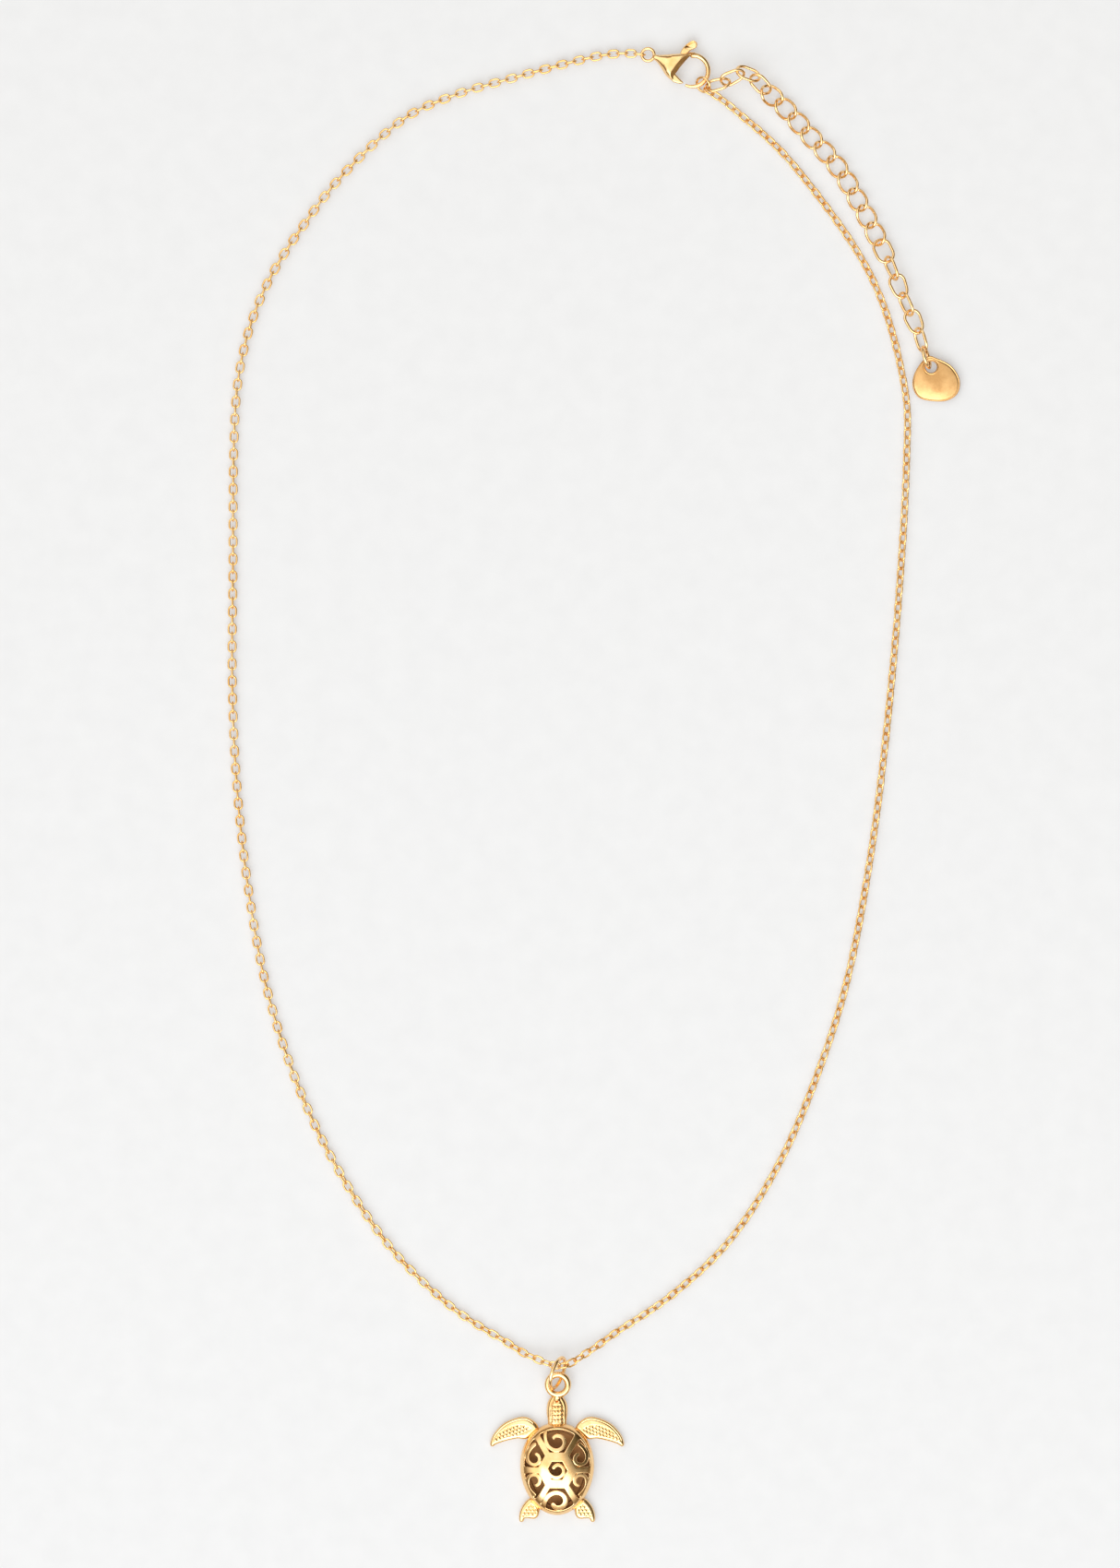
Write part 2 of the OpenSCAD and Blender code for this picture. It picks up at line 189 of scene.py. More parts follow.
def link_object(name, mesh):
    """Object for a mesh, put in the scene."""
    obj = bpy.data.objects.new(name, mesh)
    scene.collection.objects.link(obj)
    return obj


def raw_object(name, verts, faces):
    """Smooth-shaded object from vertices in millimetres."""
    mesh = bpy.data.meshes.new(name)
    mesh.from_pydata((np.asarray(verts) * MM).tolist(), [], [list(map(int, f)) for f in faces])
    mesh.polygons.foreach_set("use_smooth", [True] * len(mesh.polygons))
    mesh.update()
    return link_object(name, mesh)


def finish_piece(obj, material, body, nodes):
    """Gives a piece its finish, the body it moves with and the CAD nodes it stands for."""
    obj.data.materials.clear()
    obj.data.materials.append(material)
    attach(obj, body)
    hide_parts(*nodes)
    return obj


def paint_inside(obj, material, inside):
    """Second material, here the painted shade of the hollow turtle, for the faces whose middle and
    direction the function inside accepts.
    """
    obj.data.materials.append(material)
    count = len(obj.data.polygons)
    middles, directions = np.empty(3 * count), np.empty(3 * count)
    obj.data.polygons.foreach_get("center", middles)
    obj.data.polygons.foreach_get("normal", directions)
    chosen = inside(middles.reshape(-1, 3) / MM, directions.reshape(-1, 3))
    obj.data.polygons.foreach_set("material_index", chosen.astype(np.int32))


def add_piece(name, verts, faces, material, body, nodes):
    """Finished piece from vertices in millimetres."""
    return finish_piece(raw_object(name, verts, faces), material, body, nodes)


def joined(parts):
    """One list of vertices and one of faces from several."""
    verts, faces, start = [], [], 0
    for part_verts, part_faces in parts:
        verts.append(np.asarray(part_verts))
        faces.extend([[i + start for i in face] for face in part_faces])
        start += len(part_verts)
    return np.vstack(verts), faces


# ---------------------------------------------------------------- wires

def unit(v):
    """Vectors brought to a length of one."""
    return v / np.linalg.norm(v, axis=-1, keepdims=True)


def tube(line, radius, side_hint, sides=12, closed=True):
    """Round tube along a line that never runs along side_hint.

    radius is one number or one for each point.
    """
    line = np.asarray(line, float)
    if closed:
        ways = np.roll(line, -1, 0) - np.roll(line, 1, 0)
    else:
        ways = np.gradient(line, axis=0)
    ways = unit(ways)
    across = unit(np.cross(ways, side_hint))
    up = np.cross(across, ways)
    radius = np.broadcast_to(radius, len(line))[:, None, None]
    turn = np.arange(sides) * 2 * math.pi / sides
    ring = (np.cos(turn)[None, :, None] * across[:, None]
            + np.sin(turn)[None, :, None] * up[:, None])
    verts = (line[:, None] + radius * ring).reshape(-1, 3)
    faces = []
    last = len(line) if closed else len(line) - 1
    for i in range(last):
        j = (i + 1) % len(line)
        for k in range(sides):
            m = (k + 1) % sides
            faces.append([i * sides + k, i * sides + m, j * sides + m, j * sides + k])
    if not closed:
        faces.append(list(range(sides)))
        faces.append([(len(line) - 1) * sides + k for k in reversed(range(sides))])
    return verts, faces


def stadium(length, width, wire, bend=9):
    """Middle line of an oval wire ring in its own XY plane, its long way along X."""
    radius = (width - wire) / 2
    half = (length - width) / 2
    turn = np.radians(np.linspace(-90, 90, bend))
    right = np.c_[half + radius * np.cos(turn), radius * np.sin(turn)]
    right = np.vstack([right, [[half / 3, radius], [-half / 3, radius]]])
    both = np.vstack([right, -right])
    return np.c_[both, np.zeros(len(both))]


def twisted(line, degrees):
    """The line twisted about X, by degrees each way at its ends."""
    reach = np.abs(line[:, 0]).max()
    turn = np.radians(degrees) * line[:, 0] / reach
    y, z = line[:, 1], line[:, 2]
    return np.c_[line[:, 0], y * np.cos(turn) - z * np.sin(turn), y * np.sin(turn) + z * np.cos(turn)]


def circle_line(radius, count=64):
    """Points round a circle in the XY plane."""
    turn = np.arange(count) * 2 * math.pi / count
    return np.c_[radius * np.cos(turn), radius * np.sin(turn), np.zeros(count)]


def node_points(node):
    """Vertices of a CAD node, in millimetres."""
    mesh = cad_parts[node].data
    points = np.empty(3 * len(mesh.vertices))
    mesh.vertices.foreach_get("co", points)
    return points.reshape(-1, 3) / MM


def node_axes(node, towards=(0, 0, 1)):
    """Middle of a CAD node and its long, middle and short directions as the rows of a matrix."""
    points = node_points(node)
    middle = (points.min(0) + points.max(0)) / 2
    spread = points - points.mean(0)
    directions = np.linalg.eigh(spread.T @ spread)[1].T[::-1]
    if directions[0] @ np.asarray(towards) < 0:
        directions[0] *= -1
    if directions[2][2] < 0:
        directions[2] *= -1
    directions[1] = np.cross(directions[2], directions[0])
    return middle, directions


# ---------------------------------------------------------------- main chain

# The main chain's route, as part.scad has it, in metres
CHAIN_ROUTE = [
    (0.0069, 0.1016, 0.0004), (0.0035, 0.1018, 0), (-0.0015, 0.101, 0), (-0.012, 0.0982, 0),
    (-0.02, 0.0958, 0), (-0.027, 0.0924, 0), (-0.035, 0.085, 0), (-0.0405, 0.078, 0),
    (-0.045, 0.071, 0), (-0.048, 0.064, 0), (-0.0498, 0.056, 0), (-0.0504, 0.046, 0),
    (-0.0505, 0.03, 0), (-0.0506, 0.014, 0), (-0.05, 0, 0), (-0.0485, -0.014, 0),
    (-0.046, -0.028, 0), (-0.042, -0.041, 0), (-0.0365, -0.053, 0), (-0.029, -0.0645, 0),
    (-0.0205, -0.073, 0), (-0.0125, -0.0782, 0), (-0.0088, -0.0803, 0.0007),
    (-0.0046, -0.0815, 0.0015), (-0.0011, -0.0798, 0.0007), (0.003, -0.077, 0),
    (0.011, -0.0716, 0), (0.019, -0.064, 0), (0.026, -0.053, 0), (0.0315, -0.04, 0),
    (0.0355, -0.027, 0), (0.0385, -0.011, 0), (0.0406, 0.005, 0), (0.0424, 0.024, 0),
    (0.0436, 0.044, 0), (0.0432, 0.056, 0), (0.0385, 0.071, 0), (0.028, 0.086, 0),
    (0.0195, 0.094, 0.0002), (0.0155, 0.0968, 0.0006)]
CURVE_STEPS = 10
CHAIN_WIRE = 0.28
CHAIN_WIDTH = 1.3
CHAIN_PITCH = 1.22
CHAIN_PLAY = 0.04       # free length between two hooked links
CHAIN_TWIST = 45        # degrees that the links have turned about the chain at its far end
CHAIN_RISE = 0.06       # height of the lowest link over the table
CHAIN_SECTIONS = 8
LINK_WOBBLE = 2.0       # spread of the links' roll, in degrees
HALF_STRETCH = 0.4      # each side of a link, the length that gives the chain's direction there


def smooth_line(points, steps):
    """Catmull-Rom line through points, with steps points for each stretch."""
    p = np.asarray(points, float)
    last = len(p) - 1
    out = []
    for i in range(last):
        a, b, c, d = p[max(i - 1, 0)], p[i], p[i + 1], p[min(i + 2, last)]
        for k in range(steps):
            t = k / steps
            out.append((2 * b + (c - a) * t + (2 * a - 5 * b + 4 * c - d) * t ** 2
                        + (3 * b - a - 3 * c + d) * t ** 3) / 2)
    out.append(p[last])
    return np.array(out)


def lengths_along(line):
    """Length of the line up to each of its points."""
    return np.concatenate([[0], np.cumsum(np.linalg.norm(np.diff(line, axis=0), axis=1))])


def point_at(line, lengths, s):
    """Point at a length s along the line."""
    return np.array([np.interp(s, lengths, line[:, k]) for k in range(3)])


def turn_matrix(degrees, axis):
    """Rotation about one of the axes X, Y and Z."""
    return np.array(Matrix.Rotation(math.radians(degrees), 3, axis))


def chain_turn(share):
    """Turn of the links about the chain, at a share of its length: it grows in the middle quarter."""
    return CHAIN_TWIST * min(max(share * 4 - 1.5, 0), 1)


def chain_height(roll):
    """Height of the chain's middle line where its links have this roll."""
    lean = max(abs(math.sin(math.radians(roll))), abs(math.cos(math.radians(roll))))
    return CHAIN_RISE + CHAIN_WIRE / 2 + (CHAIN_WIDTH - CHAIN_WIRE) / 2 * lean


def make_chain():
    """The chain as one piece: every link a closed ring of drawn wire, hooked in its neighbours."""
    line = smooth_line(np.array(CHAIN_ROUTE) / MM, CURVE_STEPS)
    lengths = lengths_along(line)
    total = lengths[-1]
    count = round(total / CHAIN_PITCH)
    spacing = total / count
    oval = stadium(CHAIN_PITCH + 2 * CHAIN_WIRE + CHAIN_PLAY, CHAIN_WIDTH, CHAIN_WIRE)
    parts, path = [], []
    for i in range(count):
        s = (i + 0.5) * spacing
        turn = chain_turn(s / total)
        roll = turn + 90 * ((i + 1) % 2) + rng.normal(0, LINK_WOBBLE)
        way = point_at(line, lengths, s + HALF_STRETCH) - point_at(line, lengths, s - HALF_STRETCH)
        turned = (turn_matrix(math.degrees(math.atan2(way[1], way[0])), "Z")
                  @ turn_matrix(-math.degrees(math.asin(way[2] / np.linalg.norm(way))), "Y")
                  @ turn_matrix(roll, "X"))
        middle = point_at(line, lengths, s) + [0, 0, chain_height(turn)]
        link = oval @ turned.T + middle
        parts.append(tube(link, CHAIN_WIRE / 2, turned[:, 2], sides=10))
        path.append(middle)
    path = [point_at(line, lengths, 0) + [0, 0, chain_height(0)]] + path
    path.append(point_at(line, lengths, total) + [0, 0, chain_height(CHAIN_TWIST)])
    verts, faces = joined(parts)
    chain = add_piece("cable_chain", verts, faces, chain_gold, "necklace_chain",
                      [f"main_chain_{i + 1}" for i in range(CHAIN_SECTIONS)])
    path = np.array(path) * MM
    tuple(path[0])


make_chain()


# ---------------------------------------------------------------- rings

RING_POINTS = 144
SEAM_DEPTH = 0.03


def make_ring(node, name, wire, seam_at):
    """Round jump ring that replaces a CAD ring, with the fine cut where its wire's ends meet.

    seam_at is the cut's place, as a point of the ring.
    """
    middle, directions = node_axes(node)
    points = (node_points(node) - middle) @ directions.T
    outside = np.hypot(points[:, 0], points[:, 1]).max()
    line = circle_line(outside - wire / 2, RING_POINTS)
    radius = np.full(RING_POINTS, wire / 2)
    radius[seam_at] -= SEAM_DEPTH
    verts, faces = tube(line, radius, (0, 0, 1), sides=18)
    add_piece(name, verts @ directions + middle, faces, findings_gold, node,
              [node])


make_ring("connector_ring", "connector_jump_ring", 0.36, 20)
make_ring("tag_ring", "tag_jump_ring", 0.5, 100)
make_ring("pendant_ring", "pendant_jump_ring", 0.54, 62)


# ---------------------------------------------------------------- extender

EXTENDER_LINKS = 20
EXTENDER_WIRE = 0.42
EXTENDER_LENGTH = 3.8
EXTENDER_WIDTH = 2.85
CURB_TWIST = 48         # degrees that a twisted link turns each way
FIRST_CURB_LINK = 5     # the links that lie flat and twisted, the others being plain ovals
LAST_CURB_LINK = 14
MOST_PINCH = 0.28       # share of its width that a plain oval may lose at its forward end


def pinched(line, share):
    """The oval narrowed towards its forward end, like a link that has been bent open."""
    reach = np.abs(line[:, 0]).max()
    same = np.ones(len(line))
    return line * np.c_[same, 1 - share * (1 + line[:, 0] / reach) / 2, same]


def make_extender_link(i):
    """Oval ring of wire; the links in the middle are twisted and lie flat with their neighbours."""
    node = f"extender_link_{i}"
    following = f"extender_link_{i + 1}" if i < EXTENDER_LINKS else "tag_ring"
    ahead = node_points(following).mean(0) - node_points(node).mean(0)
    middle, directions = node_axes(node, ahead)
    oval = stadium(EXTENDER_LENGTH, EXTENDER_WIDTH, EXTENDER_WIRE, bend=15)
    if FIRST_CURB_LINK <= i <= LAST_CURB_LINK:
        level = np.array([-directions[0][1], directions[0][0], 0])
        level /= np.linalg.norm(level)
        directions[1] = level
        directions[2] = np.cross(directions[0], level)
        oval = twisted(oval, CURB_TWIST)
    else:
        oval = pinched(oval, rng.uniform(0.0, MOST_PINCH))
    verts, faces = tube(oval, EXTENDER_WIRE / 2, (0, 0, 1), sides=14)
    add_piece(f"curb_link_{i}", verts @ directions + middle, faces, findings_gold, node,
              [node])


for link_number in range(1, EXTENDER_LINKS + 1):
    make_extender_link(link_number)


# ---------------------------------------------------------------- cast pieces seen from above

def outline_distance(outline, x, y):
    """Distance to a closed outline, negative inside it."""
    best = np.full(x.shape, 1e9)
    inside = np.zeros(x.shape, bool)
    outline = np.asarray(outline, float)
    for (ax, ay), (bx, by) in zip(outline, np.roll(outline, -1, 0)):
        ex, ey = bx - ax, by - ay
        share = np.clip(((x - ax) * ex + (y - ay) * ey) / (ex * ex + ey * ey), 0, 1)
        best = np.minimum(best, np.hypot(x - ax - share * ex, y - ay - share * ey))
        if ay != by:
            inside ^= ((ay > y) != (by > y)) & (x < ex * (y - ay) / ey + ax)
    return np.where(inside, -best, best)


def line_distance(points, x, y):
    """Distance to an open line."""
    best = np.full(x.shape, 1e9)
    for (ax, ay), (bx, by) in zip(points[:-1], points[1:]):
        ex, ey = bx - ax, by - ay
        share = np.clip(((x - ax) * ex + (y - ay) * ey) / (ex * ex + ey * ey), 0, 1)
        best = np.minimum(best, np.hypot(x - ax - share * ex, y - ay - share * ey))
    return best


def smooth_loop(points, steps):
    """Closed Catmull-Rom outline through points."""
    p = [tuple(q) for q in points]
    wrapped = [p[-1]] + p + [p[0], p[1]]
    line = smooth_line(wrapped, steps)
    return line[steps:steps * (len(p) + 1)]


def rounding(depth, radius):
    """How far a rounded edge has fallen at a depth inside the outline."""
    gone = np.clip(radius - depth, 0, radius)
    return radius - np.sqrt(np.maximum(radius ** 2 - gone ** 2, 0))


def relief(distance, top, bottom, low, high, step):
    """Closed mesh of the region where distance(x, y) is negative, between two heights.

    top and bottom are functions of x, y and the depth inside the outline.
    """
    xs = np.arange(low[0], high[0] + step, step)
    ys = np.arange(low[1], high[1] + step, step)
    x, y = np.meshgrid(xs, ys, indexing="ij")
    d = distance(x, y)
    d[np.abs(d) < 1e-6] = -1e-6
    inside = d < 0
    places, depths = [], []
    corner = -np.ones(d.shape, int)
    corner[inside] = np.arange(inside.sum())
    places.append(np.c_[x[inside], y[inside]])
    depths.append(-d[inside])
    count = inside.sum()
    crossings = []
    for axis in (0, 1):
        a = tuple(slice(0, -1) if k == axis else slice(None) for k in (0, 1))
        b = tuple(slice(1, None) if k == axis else slice(None) for k in (0, 1))
        cut = inside[a] != inside[b]
        share = (d[a] / np.where(cut, d[a] - d[b], 1))[cut]
        table = -np.ones(cut.shape, int)
        table[cut] = np.arange(cut.sum()) + count
        count += cut.sum()
        places.append(np.c_[(x[a][cut] * (1 - share) + x[b][cut] * share),
                            (y[a][cut] * (1 - share) + y[b][cut] * share)])
        depths.append(np.zeros(cut.sum()))
        crossings.append(table)
    place = np.vstack(places)
    depth = np.concatenate(depths)
    upper = np.c_[place, top(place[:, 0], place[:, 1], depth)]
    lower = np.c_[place, bottom(place[:, 0], place[:, 1], depth)]
    cells = (inside[:-1, :-1].astype(int) + inside[1:, :-1] + inside[1:, 1:] + inside[:-1, 1:])
    full = np.argwhere(cells == 4)
    i, j = full[:, 0], full[:, 1]
    quads = np.c_[corner[i, j], corner[i + 1, j], corner[i + 1, j + 1], corner[i, j + 1]]
    faces = quads.tolist()
    rim = []
    for i, j in np.argwhere((cells > 0) & (cells < 4)):
        around = [(corner[i, j], crossings[0][i, j]), (corner[i + 1, j], crossings[1][i + 1, j]),
                  (corner[i + 1, j + 1], crossings[0][i, j + 1]), (corner[i, j + 1], crossings[1][i, j])]
        loop = []
        for at_corner, on_edge in around:
            if at_corner >= 0:
                loop.append((at_corner, False))
            if on_edge >= 0:
                loop.append((on_edge, True))
        pieces = [loop]
        if sum(edge for _, edge in loop) == 4:
            k = next(n for n in range(len(loop)) if not loop[n][1])
            loop = loop[k:] + loop[:k]
            pieces = [[loop[-1], loop[0], loop[1]], loop[2:-1]] if len(loop) == 6 else [loop]
        for piece in pieces:
            if len(piece) < 3:
                continue
            faces.append([v for v, _ in piece])
            for (v, v_edge), (w, w_edge) in zip(piece, piece[1:] + piece[:1]):
                if v_edge and w_edge:
                    rim.append((v, w))
    size = len(place)
    under = [[v + size for v in reversed(face)] for face in faces]
    walls = [[w, v, v + size, w + size] for v, w in rim]
    return np.vstack([upper, lower]), faces + under + walls


# ---------------------------------------------------------------- turtle

shell_low, shell_high = (np.array(corner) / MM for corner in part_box("turtle_shell"))
TURTLE_PLACE = np.append((shell_low + shell_high)[:2] / 2, 0.0)
SHELL_HALF = (shell_high - shell_low)[:2] / 2
SHELL_TOP = shell_high[2]
SHELL_SHOULDER = 1.75   # height at which the dome meets its rounded rim
SHELL_WALL = 0.7
SHELL_FOOT = 0.5        # width of the solid rim that stands on the base
RIM_ROUNDING = 0.6
BAND_ROUNDING = 0.14
EGG_TAPER = 0.08        # how much wider the egg is in front and narrower behind
BASE_TOP = 0.6
BACK_TOP = 0.3          # top of the thin back under the hollow
LEDGE = 1.2             # width of the base's ledge round that hollow
RIM = 0.62              # widths of the frame's rim and spokes
FRONT_RIM = 0.4         # how much wider the rim gets at the front and the back
HIND_RIM = 0.22
SPOKE = 0.92
PLATE = 2.95            # corner radius of the middle plate and of its window
HEXAGON = 1.38
WINDOW_CORNER = 0.3
RELIEF_STEP = 0.05
SPOKE_ANGLES = [0, 59, 121, 180, 239, 301]


def egg():
    """Outline of the shell: an oval that is wider in front."""
    turn = np.radians(np.arange(0, 360, 4))
    wide = SHELL_HALF[0] * np.cos(turn) * (1 + EGG_TAPER * np.sin(turn))
    return np.c_[wide, SHELL_HALF[1] * np.sin(turn)]


def smooth_max(a, b, blend):
    """Larger of two distances, with the corner between them rounded."""
    h = np.clip(blend - np.abs(a - b), 0, None) / blend
    return np.maximum(a, b) + h * h * blend / 4


# Each scroll's middle, its radius after the start and at the end, how much wider it starts on
# the frame, the angle at which it starts, the angle it turns through and its band's width
SCROLLS = [
    ((0.02, 3.98), 1.36, 0.76, 0.8, 140, 350, 0.58),
    ((0.08, -4.4), 1.45, 0.8, 0.8, 204, -345, 0.74),
    ((0.05, 0.05), 1.15, 0.64, 0.3, 176, 330, 0.56),
    ((-3.2, 1.6), 0.98, 0.7, 1.0, 88, 335, 0.56), ((3.2, 1.6), 0.98, 0.7, 1.0, 92, -335, 0.56),
    ((-3.2, -1.5), 0.98, 0.7, 1.0, 270, -335, 0.56), ((3.2, -1.5), 0.98, 0.7, 1.0, 270, 335, 0.56)]
SCROLL_FLARE = 9        # how soon a scroll has left the frame: a higher power leaves it sooner


def scroll_line(middle, outer, inner, flare, start, turned, count=36):
    """A spiral that leaves the frame wide and winds in to its end."""
    share = np.linspace(0, 1, count)
    turn = np.radians(start + turned * share)
    radius = inner + (outer - inner) * (1 - share) + flare * (1 - share) ** SCROLL_FLARE
    return np.c_[middle[0] + radius * np.cos(turn), middle[1] + radius * np.sin(turn)]


def spoke_distance(x, y, angle):
    """Distance from the edges of one spoke, negative on the spoke."""
    c, s = math.cos(math.radians(angle)), math.sin(math.radians(angle))
    along, across = x * c + y * s, np.abs(y * c - x * s)
    return np.where(along > 0, across - SPOKE / 2, np.hypot(x, y) - SPOKE / 2)


def six_sided(x, y, corner_radius, first_flat):
    """Distance from a regular hexagon, negative inside it; first_flat is a flat's direction."""
    flats = [math.radians(first_flat + 60 * k) for k in range(6)]
    reach = np.max([x * math.cos(a) + y * math.sin(a) for a in flats], axis=0)
    return reach - corner_radius * math.cos(math.radians(30))


def shell_distance(x, y):
    """Distance to the edge of the shell's openwork, negative on metal."""
    rim = outline_distance(egg(), x, y)
    lengthwise = y / SHELL_HALF[1]
    wider = np.where(y > 0, FRONT_RIM, HIND_RIM) * lengthwise ** 4
    spokes = np.min([spoke_distance(x, y, a) for a in SPOKE_ANGLES], axis=0)
    plate = six_sided(x, y, PLATE, 30)
    window = smooth_max(rim + RIM + wider, -np.minimum(spokes, plate), WINDOW_CORNER)
    openings = np.minimum(window, six_sided(x, y, HEXAGON, 30))
    scrolls = np.min([line_distance(scroll_line(*scroll[:-1]), x, y) - scroll[-1] / 2
                      for scroll in SCROLLS], axis=0)
    return np.maximum(rim, np.minimum(-openings, scrolls))


def egg_share(x, y):
    """0 at the middle of the shell, 1 on its outline."""
    lengthwise = y / SHELL_HALF[1]
    wide = SHELL_HALF[0] * (1 + EGG_TAPER * np.clip(lengthwise, -1, 1))
    return np.clip(np.hypot(x / wide, lengthwise), 0, 1)


def shell_height(x, y):
    """Height of the dome: flat in the middle and steeper towards its shoulder."""
    return SHELL_SHOULDER + (SHELL_TOP - SHELL_SHOULDER) * (1 - egg_share(x, y) ** 2.3) ** 0.8


def make_shell():
    """Openwork dome: a rim, spokes and a middle plate that hold seven scrolls."""
    far_inside = 9

    def top(x, y, depth):
        outer = -outline_distance(egg(), x, y)
        edge = rounding(np.where(outer < depth + 0.02, far_inside, depth), BAND_ROUNDING)
        return shell_height(x, y) - rounding(outer, RIM_ROUNDING) - edge

    def bottom(x, y, depth):
        outer = -outline_distance(egg(), x, y)
        inner = np.maximum(shell_height(x, y) - SHELL_WALL, BASE_TOP)
        return np.where(outer < SHELL_FOOT, BASE_TOP, inner)

    reach = SHELL_HALF + 0.2
    verts, faces = relief(shell_distance, top, bottom, -reach, reach, RELIEF_STEP)
    shell = add_piece("turtle_openwork_shell", verts + TURTLE_PLACE, faces, pendant_gold,
                      "turtle", ["turtle_shell"])
    # The dome's downward faces get the painted shade
    paint_inside(shell, painted_shade_gold, lambda middle, way: way[:, 2] < -0.2)


FRONT_FLIPPER = [
    (2.6, 5.6), (3.5, 6.85), (5, 7.25), (7.3, 6.45), (8.85, 4.9), (9.38, 3.5), (9.05, 3.08),
    (8.4, 3.45), (7.2, 3.85), (5.6, 4.2), (4.2, 4.2)]
FRONT_FIELD = [
    (3.6, 5.5), (4.6, 6.15), (6.2, 6.05), (7.7, 5.35), (8.55, 4.4), (8.9, 3.85), (8.3, 3.95),
    (7.2, 4.35), (6.1, 4.55), (4.9, 4.75)]
HIND_FLIPPER = [
    (3.7, -4.1), (4.8, -5.1), (5.3, -6.4), (5.25, -7.35), (4.75, -7.4), (4.4, -6.95), (3.1, -7),
    (2.5, -6.3), (2.6, -5)]
HIND_FIELD = [
    (3.6, -4.9), (4.4, -5.6), (4.85, -6.5), (4.6, -6.75), (3.7, -6.55), (3.0, -6.45), (2.9, -5.7)]
HEAD = [
    (1.25, 5.2), (1.3, 6.6), (1.5, 8.1), (1.3, 9.3), (0.75, 10.15), (0, 10.4), (-0.75, 10.15),
    (-1.3, 9.3), (-1.5, 8.1), (-1.3, 6.6), (-1.25, 5.2)]
FACE_BAND = [
    (0.75, 6.0), (0.85, 7.4), (0.88, 8.5), (0.6, 9.4), (0, 9.95), (-0.6, 9.4), (-0.88, 8.5),
    (-0.85, 7.4), (-0.75, 6.0)]
FLIPPER_TOP = 1.1
FLIPPER_SWELL = 0.14    # how far a flipper's middle stands over its edge
FRONT_LEAN = -24        # directions of the flippers' rows of beads, in degrees
HIND_LEAN = 60
HEAD_TOP = 1.7
HEAD_HALF = 1.5
CHEEK_HEIGHT = 0.8
FIELD_DEPTH = 0.12      # how far a beaded field is sunk
BEAD_PITCH = 0.52
BEAD_RADIUS = 0.24
BEAD_RELIEF = 0.5       # how much of a half ball a bead is
SCALE_COLUMN = 0.5      # pitch of the scales on the head
SCALE_ROW = 0.6
SCALE_RELIEF = 0.7
NECK_END = 6.55         # the scales run from here
SCALES_END = 9.0
NOSTRIL_PLACE = 9.5
BODY_EDGE = 0.3         # rounding of the body's upper edge
BACK_EDGE = 0.1


def beads(x, y, lean):
    """Height of rows of small beads that run at an angle of lean."""
    c, s = math.cos(math.radians(lean)), math.sin(math.radians(lean))
    row_pitch = BEAD_PITCH * math.cos(math.radians(30))
    u, v = x * c + y * s, y * c - x * s
    row = np.round(v / row_pitch)
    u = u - 0.5 * BEAD_PITCH * (row % 2)
    near = np.hypot(u - np.round(u / BEAD_PITCH) * BEAD_PITCH, v - row * row_pitch)
    return BEAD_RELIEF * np.sqrt(np.maximum(BEAD_RADIUS ** 2 - near ** 2, 0))


def beaded(x, y, field, lean):
    """Change of height in a sunk field, where field is the distance to its edge."""
    slope = 0.12
    sunk = np.clip(-field / slope, 0, 1)
    return sunk * (beads(x, y, lean) - FIELD_DEPTH)


def face_height(x, y, band):
    """The head's rounded back, with a band of scales between two grooves, and its nostrils' dint."""
    side = np.clip(np.abs(x) / HEAD_HALF, 0, 1)
    nose = np.clip((y - 8.4) / 2.0, 0, 1)
    back = CHEEK_HEIGHT + (HEAD_TOP - CHEEK_HEIGHT) * np.sqrt(1 - side ** 2) - 0.5 * nose ** 2
    groove = 0.12 * np.exp(-(band / 0.09) ** 2)
    near = np.hypot(x - np.round(x / SCALE_COLUMN) * SCALE_COLUMN,
                    y - (np.round((y - 0.2) / SCALE_ROW) * SCALE_ROW + 0.2))
    scales = SCALE_RELIEF * np.sqrt(np.maximum(BEAD_RADIUS ** 2 - near ** 2, 0)) - 0.08
    scaled = np.clip(-band / 0.1, 0, 1) * (y > NECK_END) * (y < SCALES_END)
    dint = 0.14 * np.exp(-(np.hypot(x, (y - NOSTRIL_PLACE) * 0.8) / 0.16) ** 2)
    return back - groove + scales * scaled - dint


